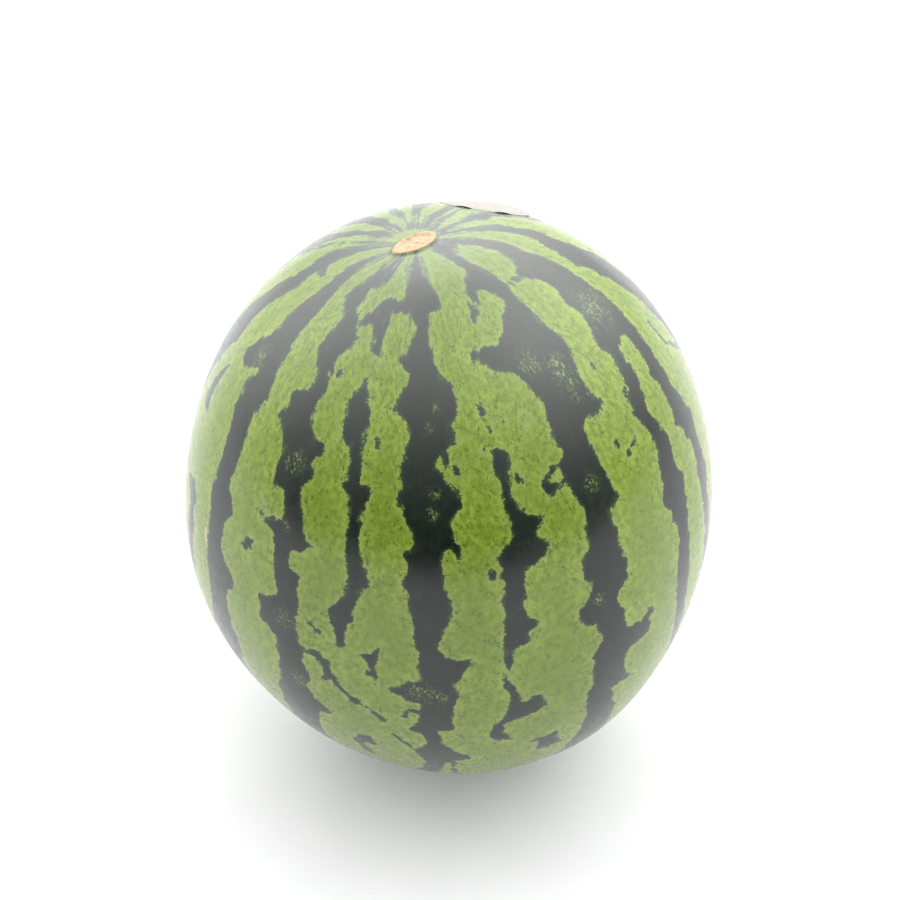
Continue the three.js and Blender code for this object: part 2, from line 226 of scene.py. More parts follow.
DARK_SHAPES = {
    "front_stripe": [
        (-7, 2), (-9, 6), (-6.5, 10), (-7, 14), (-8, 16), (-3, 17.5), (-1, 20), (-1.5, 22),
        (-4, 24.8), (-7, 26.3), (-3.5, 29), (-6, 31.5), (-6.5, 33), (-9, 34.5), (-7, 35.7), (-4, 37),
        (-4, 40), (-6, 44.5), (-6.2, 48.5), (-7, 50), (-6, 52), (-4.5, 55), (-4.4, 59), (-6, 60),
        (-5.7, 63.5), (-7.7, 65.2), (-5.7, 67.5), (-6.2, 73), (-5.5, 76), (-5.3, 84), (-5.8, 88),
        (-10, 89.7), (-12.5, 91), (-12, 92.5), (-7, 94.8), (-6.5, 98), (-10, 104.5), (-7.5, 106.5),
        (-7, 110), (-10.5, 115), (-10, 120), (-10.5, 125), (-14, 131), (-18, 140), (-20, 176),
        (-10, 176), (-11, 140), (-8, 130), (-4, 120), (1.7, 118.7), (1.5, 117.3), (-2.5, 113),
        (-4, 110), (-3.8, 105), (-0.7, 104), (-0.3, 97), (1.2, 92.5), (0.5, 90), (1.5, 88.7),
        (4, 85), (4.8, 83.3), (0, 83), (-1.5, 79), (0, 75.8), (2.5, 72.5), (1.2, 65.5), (2, 60.5),
        (4.5, 58.5), (4.3, 54.5), (7.2, 52), (7, 49.5), (4.2, 47.5), (2.3, 44.5), (4.5, 42.2),
        (10, 41.3), (8, 39.7), (7.5, 38), (11, 35.7), (11.8, 33.5), (10, 31.3), (6.5, 29.5),
        (6.5, 25), (5.5, 22), (6.5, 18), (14, 17.3), (15, 16), (12.5, 12), (11, 9), (12, 6), (12, 2),
    ],
    "bridge_left_of_front": [
        (-6, 14.8), (-16, 14.2), (-21, 15), (-25, 17), (-30, 18.8), (-33, 19.5), (-30, 20.8),
        (-24.5, 19.5), (-21, 21), (-19.5, 23), (-17, 25.8), (-15.3, 25.5), (-15.2, 20), (-15, 17.3),
        (-11, 17), (-6, 17.2),
    ],
    "narrow_stripe_left": [
        (-19, 29.3), (-22.5, 33), (-23.5, 35), (-24, 38), (-23, 40.3), (-20.3, 40.8), (-19.3, 44),
        (-19.3, 47), (-20.7, 48.5), (-18.5, 50), (-19, 55), (-19, 61), (-18.6, 66), (-20, 70),
        (-22.7, 73), (-23.2, 76), (-22, 81.5), (-20.7, 81.5), (-20, 78), (-18.5, 75), (-17.3, 72),
        (-16.5, 69), (-14, 65.5), (-14, 63.5), (-16, 62), (-16, 53), (-15, 51), (-13.5, 49.5),
        (-14.2, 48.5), (-16.5, 46.7), (-17, 41), (-16.3, 39.5), (-15.7, 36), (-15, 34.8),
        (-17.5, 33), (-18.3, 30.5),
    ],
    "narrow_stripe_right": [
        (18, 43.8), (16.5, 44.5), (16.3, 46.5), (17.2, 48.5), (17.2, 50.5), (16.6, 54), (17.5, 57),
        (17.5, 59), (16, 61), (12.5, 62.5), (13.3, 66), (13.3, 70), (11.8, 72), (12.5, 76.5),
        (11.5, 82), (11.2, 88), (10, 90.3), (11, 94), (11.7, 97.5), (10.8, 100.5), (9, 103.5),
        (6.5, 105.5), (6.2, 108), (7, 110.5), (10.8, 111.8), (9.6, 108), (9, 104.5), (13, 103.7),
        (16.5, 103), (18.8, 102), (18, 98.3), (16.3, 97.7), (15.5, 99), (13.4, 98.7), (13, 96),
        (11.8, 91.5), (11.2, 89.3), (12.3, 87.5), (12.9, 84), (16.5, 82.3), (16, 80), (19.5, 78.4),
        (17, 77), (16.2, 74.3), (17.7, 69.5), (18.3, 67), (20.8, 66), (24, 63.2), (22.3, 60.5),
        (24, 57.6), (20.5, 56.2), (19.3, 53), (18.7, 50), (20.7, 47.3), (20.4, 44.3),
    ],
    "right_stripe": [
        (52, 2), (45, 5), (44, 9), (45, 12), (37, 14), (33, 16), (27.5, 20.5), (26.7, 22), (30, 20.5),
        (34, 18.3), (38, 17), (43, 17.2), (46, 19.5), (44, 22), (38.5, 23.7), (35.5, 26), (30, 27),
        (25, 26.5), (19, 27), (20.5, 28.2), (25, 30.3), (29, 32), (31.5, 34), (33.7, 36.5), (35, 40),
        (34, 42), (33, 44.5), (34, 48.5), (31.5, 50.5), (31.3, 52.7), (26, 52.3), (27, 54.3),
        (31.5, 54.3), (33, 57), (34, 59.5), (33, 62), (32.6, 66.5), (30, 69.8), (29.3, 71.5),
        (31, 74.5), (30.3, 77.5), (27.3, 79.3), (27.5, 82), (31, 84.8), (31.5, 89), (29.3, 93),
        (29.7, 97), (28.7, 102), (27.8, 106), (28.5, 110), (28, 118), (25.5, 127), (22, 140),
        (18, 176), (28, 176), (34, 150), (39, 133), (37, 125), (36.5, 114), (34.5, 107.5), (34, 106),
        (37.5, 105.8), (40.7, 106.8), (38.3, 104), (37, 100.5), (38, 97.5), (40, 95.8), (44.3, 95.6),
        (44.7, 92), (46, 90.7), (44, 89), (42, 90.5), (38.5, 90), (37.6, 86), (36.4, 83), (37, 79),
        (40.2, 77.5), (39.7, 72), (39.5, 62.3), (42.8, 61), (41.5, 57), (41, 51), (41.5, 46),
        (44, 45.2), (47.5, 46.6), (50.3, 45.3), (48, 42), (49.5, 38), (51.7, 34), (53, 31),
        (51.3, 28), (51.5, 23), (52.5, 20.3), (59, 19.6), (54.5, 18.8), (54.5, 16), (55.5, 12),
        (58, 8.5), (70, 7.5), (84, 8), (86, 4.5), (86, 2),
    ],
    "left_stripe": [
        (-42, 2), (-44, 6), (-45, 10), (-47, 13), (-50, 15.3), (-47, 17), (-42, 18.7), (-41.5, 22),
        (-43, 26), (-40.5, 28), (-38, 31), (-38.3, 34), (-43.5, 34.8), (-43.5, 37.5), (-45.3, 39.8),
        (-41.5, 42), (-39.4, 45), (-40, 50), (-39.3, 52), (-37, 52.2), (-35.3, 54.5), (-35.7, 57.3),
        (-38, 58), (-40.4, 59.3), (-37.7, 60.5), (-36.5, 64), (-36.3, 68), (-35.8, 73), (-38.5, 75.3),
        (-41, 76), (-40.7, 79), (-41.2, 81.2), (-38, 82.7), (-37, 85), (-36.8, 90), (-38, 94),
        (-39.3, 99), (-41.3, 104), (-42, 110), (-44, 118), (-45, 126), (-47, 140), (-50, 176),
        (-38, 176), (-38, 140), (-36, 126), (-34.5, 116), (-32.5, 109), (-31, 105), (-28, 104),
        (-27.3, 102.7), (-30, 101), (-31.5, 97), (-30, 93.5), (-30.3, 91), (-31, 88), (-30.3, 84.5),
        (-31.5, 82), (-30.6, 78), (-30.5, 73), (-30, 68), (-30.5, 67), (-32, 66.7), (-33.2, 64.5),
        (-32.5, 63), (-30.2, 62.6), (-28, 61.7), (-25.8, 60.7), (-29.6, 59.5), (-30.5, 56), (-31, 54),
        (-32, 51), (-31.5, 49.8), (-29.5, 48.5), (-29.3, 44.5), (-27, 42.3), (-31, 41.5),
        (-33.3, 39.5), (-34, 36.5), (-33.3, 34.5), (-32, 32.5), (-33.5, 29.5), (-33, 27),
        (-29, 25.2), (-28, 22.5), (-30, 20), (-34, 18.3), (-35.5, 16), (-34.5, 13), (-30, 12.5),
        (-25, 11), (-22, 9), (-24, 6), (-26, 2),
    ],
    "far_left_stripe": [
        (-74, 2), (-74, 8), (-75, 12), (-71.5, 14), (-70, 17), (-68.3, 19.5), (-70, 23.5), (-69, 29),
        (-71.5, 31.5), (-74.5, 33.8), (-75.3, 36.5), (-73, 38.2), (-68.5, 37.8), (-66.5, 36.3),
        (-63, 36), (-62.5, 37.7), (-65.3, 39.3), (-64, 41), (-63.8, 44.5), (-62, 47), (-61, 51),
        (-60.3, 55), (-60.3, 59), (-61.5, 63), (-60, 65.5), (-59.7, 71), (-60, 76), (-59.7, 85),
        (-60.5, 91), (-63, 97), (-62, 104), (-61, 112), (-62, 130), (-66, 176), (-56, 176),
        (-55, 130), (-55, 112), (-54, 103), (-51.5, 97), (-52.5, 91), (-53, 83), (-50, 79),
        (-49.3, 77.5), (-50.5, 76), (-53, 74.5), (-54.3, 70), (-53.8, 65.5), (-51.3, 62.5),
        (-52, 60.5), (-54.2, 58.5), (-54, 53), (-54.5, 46), (-54.3, 41.5), (-51, 38.8),
        (-53.5, 36.5), (-55, 33), (-55.5, 28), (-56, 24), (-56.7, 20), (-58.5, 17), (-61, 13.5),
        (-62.5, 10), (-60, 6), (-58, 2),
    ],
    "far_right_stripes": [
        (76, 8), (79, 10), (78.3, 14), (74.5, 17.3), (69, 18.7), (60, 18.9), (55, 19.2), (55, 19.8),
        (62, 20.2), (66, 21), (69.5, 22.8), (69.3, 25), (67, 28), (66, 32), (64.5, 35), (61.5, 37.5),
        (63, 40), (62.5, 43), (61, 46), (57.5, 48.5), (57, 52), (57.3, 54), (58.8, 56), (58.8, 58.5),
        (57.5, 61), (57, 63), (55.5, 67), (54, 69.8), (55.7, 72), (55.7, 75), (57, 77), (56, 83),
        (54.7, 86), (54.5, 95), (56, 110), (57, 125), (57, 140), (56, 176), (66, 176), (63, 140),
        (61, 125), (60, 110), (59, 95), (60, 86), (60.5, 81), (61.5, 75), (62.7, 71), (63.3, 69.5),
        (62.2, 66.5), (62, 63.5), (63.5, 60), (62.7, 57.5), (61.7, 54), (62.5, 50.5), (65, 48.3),
        (66, 44), (67, 41.5), (70, 40.3), (73.5, 41.5), (73, 45), (72, 47.5), (70, 49.5), (71, 52.5),
        (70, 57), (68.3, 60), (70.3, 64), (71, 69), (69.8, 73), (69.3, 80), (69, 92), (70, 110),
        (71, 130), (72, 150), (74, 176), (82, 176), (78, 150), (76, 130), (74, 110), (73, 92),
        (73.3, 83), (73, 79), (75.5, 76), (74.7, 70), (76.5, 66), (78, 63.5), (76.3, 60), (75.6, 54),
        (77.2, 49.5), (78.7, 44), (80, 40.5), (81.3, 37), (83, 33), (84.7, 30), (85, 25), (86.3, 21),
        (88, 17), (90.5, 14), (92, 11), (93, 8), (96, 5), (96, 2), (80, 2),
    ],
    "right_edge_stripe": [
        (103, 2), (105, 10), (104, 16), (102, 21), (95, 24), (92.5, 27), (90.5, 29), (93, 32.5),
        (94.5, 38), (96, 43), (96, 52), (97, 65), (96, 80), (97, 100), (98, 120), (100, 150),
        (102, 176), (112, 176), (108, 150), (107, 120), (106, 95), (108, 75), (106, 60), (108, 48),
        (108, 36), (106, 28), (110, 23), (113, 17), (114, 10), (118, 2),
    ],
    "left_edge_stripe": [
        (-106, 2), (-103, 7), (-104, 12), (-105, 16), (-99, 20), (-97, 24), (-98, 28), (-101, 35),
        (-102, 42), (-104, 50), (-103, 65), (-105, 80), (-102, 100), (-104, 130), (-108, 176),
        (-96, 176), (-95, 130), (-93, 100), (-92, 80), (-93, 62), (-91, 50), (-88.5, 41), (-86, 39),
        (-88, 36), (-89, 30), (-87, 26), (-85, 22), (-87, 19.5), (-88, 18), (-80, 17.5),
        (-80, 16.5), (-89, 16), (-90, 12), (-91, 8), (-90, 2),
    ],
    "fragment_far_left": [
        (-79, 42), (-82, 44.5), (-83.5, 48), (-84.5, 51.5), (-83, 53), (-77.5, 53), (-76, 51.5),
        (-79, 50.5), (-80, 48), (-79, 44.5),
    ],
    "lower_fragment_far_left": [
        (-71, 66), (-76.5, 67.5), (-77, 69), (-73, 70), (-71.5, 72), (-72.5, 75.5), (-73, 82),
        (-74, 95), (-76, 110), (-76, 125), (-72, 125), (-71, 110), (-70, 95), (-69, 82), (-68, 75),
        (-69.5, 72), (-68, 69), (-70, 67),
    ],
    "patch_left_of_front": [
        (-13.2, 80.8), (-15, 81.8), (-17.6, 83), (-16.4, 84.6), (-15.2, 85.2), (-14.2, 84.3),
        (-13.6, 82.6),
    ],
    "low_patch_left": [
        (-25.5, 114.5), (-22.5, 110.8), (-20.2, 110.8), (-20, 113), (-18.7, 114.8), (-22, 114.7),
        (-23.3, 116.5), (-22.7, 122.5), (-25, 121.5), (-24.6, 117),
    ],
    "low_patch_right": [
        (14.5, 115), (17.3, 115.8), (17.5, 119), (16.8, 121.5), (19, 121), (20, 124.5), (20.7, 121),
        (23.5, 121), (21.7, 118), (21.5, 113.5), (19.8, 115),
    ],
    "fleck_left": [(-46.5, 67), (-45, 65), (-42.8, 65), (-44, 66.5), (-45.5, 67.5)],
}

# Thin dark cracks and flecks: a width in millimetres, and the places that each one passes
CRACKS = [
    (3.6, [(-30.5, 85), (-27, 85.5), (-25.2, 87), (-24.8, 90.5), (-23, 93.5), (-21, 96.3)]),
    (2.8, [(-21, 96.3), (-18, 98.3), (-16.5, 100), (-15.2, 101.5)]),
    (2.2, [(-26.5, 91.4), (-24.8, 91)]),
    (1.6, [(-15.2, 84), (-15, 86), (-15.2, 90.5)]),
    (3.0, [(-15.8, 87.4), (-15.1, 87.8)]),
    (2.0, [(-10.2, 98), (-8.8, 97.6), (-7, 97.9)]),
    (1.6, [(-10.2, 98), (-10.3, 99.8)]),
    (1.8, [(-14, 108), (-12.6, 110), (-11.4, 112.5), (-10.1, 114.9)]),
    (1.6, [(-2.5, 119), (-3.5, 126), (-4, 135), (-5, 150)]),
    (1.2, [(88, 46.5), (87.2, 49.5), (87.5, 52)]),
    (2.4, [(87.5, 52), (90, 54), (95, 58.5)]),
    (1.6, [(17.2, 36.2), (17.4, 37)]),
    (1.8, [(28.2, 39.8), (27.5, 41.6)]),
    (0.7, [(17.7, 40.1), (22.2, 39.7)]),
    (1.8, [(5.4, 42.7), (5.6, 44.2)]),
    (2.2, [(7.3, 44.8), (7.4, 46)]),
    (2.2, [(15, 43.3), (15.6, 43.7)]),
    (1.0, [(15, 43.6), (18, 44)]),
    (1.0, [(21.2, 48.6), (21.4, 50.4)]),
    (2.0, [(26.5, 52.5), (29.8, 50.4)]),
    (2.2, [(4.8, 59), (4.7, 61.2)]),
    (1.8, [(11.3, 64.8), (11.3, 66.6)]),
    (1.0, [(-33.2, 28), (-32.5, 29.8)]),
    (1.0, [(-29.6, 28.8), (-29.3, 30.2)]),
    (1.6, [(-41.9, 56.2), (-41.5, 58.6)]),
    (1.4, [(54.1, 38.4), (54.4, 39.4)]),
    (1.6, [(58.3, 46.2), (57.1, 48.2)]),
    (1.0, [(47.6, 52.3), (48.3, 53.1)]),
    (2.2, [(50.0, 55.4), (51.4, 55.0)]),
    (0.9, [(51.4, 55.0), (53.6, 54.5)]),
    (2.2, [(-28.4, 77.5), (-27.8, 77.7)]),
    (2.4, [(-26.4, 79), (-25.6, 79.1)]),
    (0.8, [(-13, 39.5), (-12.6, 41)]),
]

# A corky scuff at the left edge: a width in millimetres, and the places that it passes
SCUFFS = [(1.7, [(-61.4, 71.4), (-60.9, 74.9)])]

# Stripes on the back, which the photograph doesn't show: azimuth, half width, and how far they wander
BACK_STRIPES = [
    (127, 5.5, 3),
    (143, 2.0, 4),
    (158, 5.5, 3),
    (178, 6.0, 3),
    (-165, 2.4, 4),
    (-147, 5.0, 3),
    (-124, 5.8, 3),
    (-113, 1.8, 3),
]
BACK_SEED = 14
BACK_STATIONS = np.arange(5, 177, 4)  # angles from the stem at which a stripe's two edges are set
DRIFT_WINDOW = 9  # stations that the smoothing takes in
BREADTH_WINDOW = 5
BREADTH_SWING = 0.22
BREADTH_LIMITS = (0.25, 1.9)
BACK_LOBE_RISE = 2.6  # millimetres, as is their size
BACK_LOBE_SIZE = 11
BACK_LOBE_SEED = 21

# Seeded rays round the stem, where the stripes' edges are combed towards it
RAY_CYCLES = (23, 31, 37, 44, 53, 61)
RAY_SEED = 3
RAY_RISE = 0.7
RAYS_AT = 14  # millimetres from the stem
RAYS_SPREAD = 9

# Pale freckles in the dark stripes: azimuth, angle from the stem, and radius in millimetres
FRECKLES = [
    (1.5, 49.3, 1.9), (0.6, 53, 1.9), (4.6, 35, 1.4), (1.8, 38, 1.6), (-35.3, 46.5, 4),
    (-34.3, 58.5, 1.6), (37, 32.5, 4), (45, 35, 3.5), (45, 38, 4), (44.2, 41.5, 1.6),
    (74, 33.5, 7), (-66.3, 34.2, 3.5), (-6, 91.5, 5), (-2.5, 93.5, 3.5), (37.5, 56, 3),
    (-34, 79, 4), (32, 79, 2.5), (-33, 95, 4),
]

FLAT_RADIUS = 127  # millimetres, for turning angles into lengths on the skin
PER_DEGREE = math.radians(1) * FLAT_RADIUS
FARTHEST = 14  # millimetres; distances to a stripe's edge stop here


def turned_to(azimuth, middle):
    return (azimuth - middle + 180) % 360 - 180


def smooth_steps(count, window, random):
    """Seeded steps, each smoothed with its neighbours."""
    return np.convolve(random.normal(size=count + window - 1), np.hanning(window), "valid")


def back_outline(middle, half_width, wander, random):
    """A seeded stripe outline from the stem to the blossom end."""
    at = BACK_STATIONS
    centre = middle + smooth_steps(len(at), DRIFT_WINDOW, random) * wander * 0.5
    breadth = 1 + BREADTH_SWING * smooth_steps(len(at), BREADTH_WINDOW, random)
    half = half_width * np.clip(breadth, *BREADTH_LIMITS)
    return [*zip(centre - half, at), *zip((centre + half)[::-1], at[::-1])]


def distance_to_line(azimuth, from_stem, places, closed):
    """Distances in millimetres to a line through places, and which grid points a closed line holds."""
    places = np.array(places, float)
    middle = places[:, 0].mean()
    x = turned_to(azimuth, middle)
    squeeze = np.sin(np.radians(from_stem))
    nearest = np.full(azimuth.shape, FARTHEST**2, float)
    inside = np.zeros(azimuth.shape, bool)
    ends = [*zip(places, np.roll(places, -1, axis=0))]
    for (ax, ay), (bx, by) in ends if closed else ends[:-1]:
        ax, bx = ax - middle, bx - middle
        px, py = (x - ax) * squeeze, from_stem - ay
        dx, dy = (bx - ax) * squeeze, by - ay
        along = np.clip((px * dx + py * dy) / np.maximum(dx * dx + dy * dy, 1e-9), 0, 1)
        gap = ((px - along * dx) ** 2 + (py - along * dy) ** 2) * PER_DEGREE**2
        nearest = np.minimum(nearest, gap)
        crosses = (from_stem < ay) != (from_stem < by)
        inside ^= crosses & (x < ax + (from_stem - ay) / ((by - ay) or 1) * (bx - ax))
    return np.sqrt(nearest), inside


def near(azimuth, from_stem, places):
    """Which grid points are close enough to an outline to be worth measuring."""
    places = np.array(places, float)
    middle = places[:, 0].mean()
    reach = np.abs(places[:, 0] - middle).max()
    margin = math.degrees(FARTHEST / FLAT_RADIUS)
    sideways = np.abs(turned_to(azimuth, middle)) - reach
    close = sideways * np.maximum(np.sin(np.radians(from_stem)), 0.01) < margin
    close &= from_stem > places[:, 1].min() - margin
    return close & (from_stem < places[:, 1].max() + margin)


def painted(azimuth, from_stem, outlines=(), lines=()):
    """Millimetres into the nearest closed outline or line of a width, negative outside them all."""
    field = np.full(azimuth.shape, -float(FARTHEST))
    for width, places in [*((None, outline) for outline in outlines), *lines]:
        close = near(azimuth, from_stem, places)
        gap, inside = distance_to_line(azimuth[close], from_stem[close], places, width is None)
        signed = np.where(inside, gap, -gap) if width is None else width / 2 - gap
        field[close] = np.maximum(field[close], signed)
    return field


def stripe_field(azimuth, from_stem):
    """Millimetres into the dark of a stripe, negative in the pale green between."""
    random = np.random.default_rng(BACK_SEED)
    back_outlines = [back_outline(*stripe, random) for stripe in BACK_STRIPES]
    back = painted(azimuth, from_stem, back_outlines)
    back += BACK_LOBE_RISE * scallops(azimuth, from_stem, BACK_LOBE_SIZE, BACK_LOBE_SEED)
    field = np.maximum(painted(azimuth, from_stem, DARK_SHAPES.values(), CRACKS), back)
    stem_distance = np.radians(from_stem) * FLAT_RADIUS
    return field + ray_noise(azimuth) * bell(stem_distance - RAYS_AT, RAYS_SPREAD) * RAY_RISE


def ray_noise(azimuth):
    """Seeded waves round the stem, about unit high."""
    random = np.random.default_rng(RAY_SEED)
    total = np.zeros(azimuth.shape)
    for cycles in RAY_CYCLES:
        total += np.sin(np.radians(azimuth) * cycles + random.uniform(0, 2 * math.pi))
    return total / math.sqrt(len(RAY_CYCLES) / 2)


def scallops(azimuth, from_stem, size, seed):
    """Round lobes with sharp creases between them: distance to the nearest of many seeded points."""
    random = np.random.default_rng(seed)
    count = int(4 * math.pi * FLAT_RADIUS**2 / size**2)
    seeds = random.normal(size=(count, 3))
    seeds *= FLAT_RADIUS / np.linalg.norm(seeds, axis=1)[:, None]
    tree = kdtree.KDTree(count)
    for index, seed_point in enumerate(seeds):
        tree.insert(seed_point, index)
    tree.balance()
    points = (direction_at(azimuth, from_stem) * FLAT_RADIUS).reshape(-1, 3)
    gaps = np.array([tree.find(point)[2] for point in points]).reshape(azimuth.shape)
    return gaps / size - 0.5


def freckle_field(azimuth, from_stem):
    """How strongly the pale freckles show: about 1 in the middle of each, 0 away from them."""
    field = np.zeros(azimuth.shape)
    for at, down, radius in FRECKLES:
        across = turned_to(azimuth, at) * np.sin(np.radians(from_stem))
        field += bell(np.hypot(across, from_stem - down) * PER_DEGREE, radius)
    return field


# Meshes

FRONT_REACH = 110  # the finer part of the grid goes this far to both sides of the front
FRONT_SEGMENTS = 320
BACK_SEGMENTS = 120
SCAR_RINGS = 12
FIRST_SCAR_RING = 0.05  # share of the scar's radius
EASING_RINGS = 10
FIRST_CIRCLE = 9.0  # angle from the stem
LAST_CIRCLE = 179.2
RING_STEP = 0.85

# The fields' values in millimetres at the grid's two end points, the stem's first
STRIPE_AT_ENDS = (-3, -3)
FRECKLE_AT_ENDS = (0, 0)
SCUFF_AT_ENDS = (-FARTHEST, -FARTHEST)
SCAR_AT_ENDS = (6, -100)


def grid_azimuths():
    fine = np.linspace(-FRONT_REACH, FRONT_REACH, FRONT_SEGMENTS, endpoint=False)
    coarse = np.linspace(FRONT_REACH, 360 - FRONT_REACH, BACK_SEGMENTS, endpoint=False)
    return np.concatenate([fine, coarse])


def grid_rings(azimuths):
    """Angles from the stem for every ring: first the scar's outline, easing to circles below it."""
    outline = np.degrees(scar_radius(azimuths) / HALF_HEIGHT)
    scar = np.linspace(FIRST_SCAR_RING, SCAR_SHARES[-1], SCAR_RINGS)[:, None] * outline
    ease = np.linspace(0, 1, EASING_RINGS + 1)[1:, None]
    eased = scar[-1] + (FIRST_CIRCLE - scar[-1]) * ease
    circles = np.arange(FIRST_CIRCLE + RING_STEP, LAST_CIRCLE, RING_STEP)[:, None]
    return np.concatenate([scar, eased, circles + 0 * outline])


def mesh_object(name, points, faces):
    mesh = bpy.data.meshes.new(name)
    mesh.from_pydata(points.tolist(), [], faces)
    mesh.validate()
    mesh.shade_smooth()
    item = bpy.data.objects.new(name, mesh)
    bpy.context.scene.collection.objects.link(item)
    return item


def ring_faces(rings, around):
    """Quads between rings of points, and fans to the first and the last point."""
    i = np.arange(around)
    j = (i + 1) % around
    faces = []
    for ring in range(rings - 1):
        upper, lower = 1 + ring * around, 1 + (ring + 1) * around
        faces += np.stack([upper + i, lower + i, lower + j, upper + j], 1).tolist()
    lowest = 1 + (rings - 1) * around
    faces += np.stack([0 * i, 1 + i, 1 + j], 1).tolist()
    faces += np.stack([lowest + i, 0 * i + lowest + around, lowest + j], 1).tolist()
    return faces


def add_values(item, name, values):
    """A number at each point, for the materials."""
    attribute = item.data.attributes.new(name, "FLOAT", "POINT")
    attribute.data.foreach_set("value", np.asarray(values, np.float32))


def add_places(item, name, places):
    """A vector at each point, for the materials."""
    attribute = item.data.attributes.new(name, "FLOAT_VECTOR", "POINT")
    attribute.data.foreach_set("vector", np.asarray(places, np.float32).ravel())


def growth_place(azimuth, from_stem):
    """Places for the skin's fine marks, in millimetres: they draw together towards the two ends."""
    a = np.radians(azimuth)
    down = np.radians(from_stem) * FLAT_RADIUS
    return np.stack([np.cos(a) * FLAT_RADIUS, np.sin(a) * FLAT_RADIUS, down + 0 * a], -1)


def lay_out_skin(item, rings, around):
    """A flat map of the skin: azimuth across, and angle from the stem up."""
    layer = item.data.uv_layers.new(name="OFBake")
    loops = np.empty(len(item.data.loops), int)
    item.data.loops.foreach_get("vertex_index", loops)
    starts = np.empty(len(item.data.polygons), int)
    totals = np.empty(len(item.data.polygons), int)
    item.data.polygons.foreach_get("loop_start", starts)
    item.data.polygons.foreach_get("loop_total", totals)
    column = (loops - 1) % around
    row = (loops - 1) // around
    pole = (loops == 0) | (loops == 1 + rings * around)
    row = np.where(loops == 0, -1, row)
    face = np.repeat(np.arange(len(starts)), totals)
    ordinary = np.where(pole, around, column)
    least = np.minimum.reduceat(ordinary, starts)
    wide = np.maximum.reduceat(np.where(pole, -1, column), starts) - least > around / 2
    column = np.where(wide[face] & (column == 0) & ~pole, around, column)
    middle = np.where(wide, around - 0.5, least + 0.5)
    across = np.where(pole, middle[face], column) / around
    down = (row + 1) / (rings + 1)
    layer.uv.foreach_set("vector", np.stack([across, 1 - down], 1).astype(np.float32).ravel())


def make_rind():
    azimuths = grid_azimuths()
    from_stem = grid_rings(azimuths)
    azimuth = np.broadcast_to(azimuths, from_stem.shape)
    points = skin_points(azimuth, from_stem, -SKIN_INSET).reshape(-1, 3)
    ends = skin_points(np.array([0.0, 0.0]), np.array([0.0, 180.0]), -SKIN_INSET)
    points = np.concatenate([ends[:1], points, ends[1:]])
    rings, around = from_stem.shape
    rind = mesh_object("rind", points, ring_faces(rings, around))

    places = growth_place(azimuth, from_stem).reshape(-1, 3)
    blossom_place = (0, 0, math.pi * FLAT_RADIUS)
    add_places(rind, "growth", np.concatenate([[(0, 0, 0)], places, [blossom_place]]))
    stem_distance = np.radians(from_stem) * HALF_HEIGHT
    scar = (scar_radius(azimuth) - stem_distance) / MM
    fields = {
        "stripe": (stripe_field(azimuth, from_stem), STRIPE_AT_ENDS),
        "freckle": (freckle_field(azimuth, from_stem), FRECKLE_AT_ENDS),
        "scuff": (painted(azimuth, from_stem, lines=SCUFFS), SCUFF_AT_ENDS),
        "scar": (scar, SCAR_AT_ENDS),
        "stem_distance": (stem_distance / MM, (0, math.pi * HALF_HEIGHT / MM)),
    }
    for name, (field, (first, last)) in fields.items():
        add_values(rind, name, np.concatenate([[first], field.ravel(), [last]]))
    lay_out_skin(rind, rings, around)
    return rind


# Materials. Lengths in their nodes are millimetres.


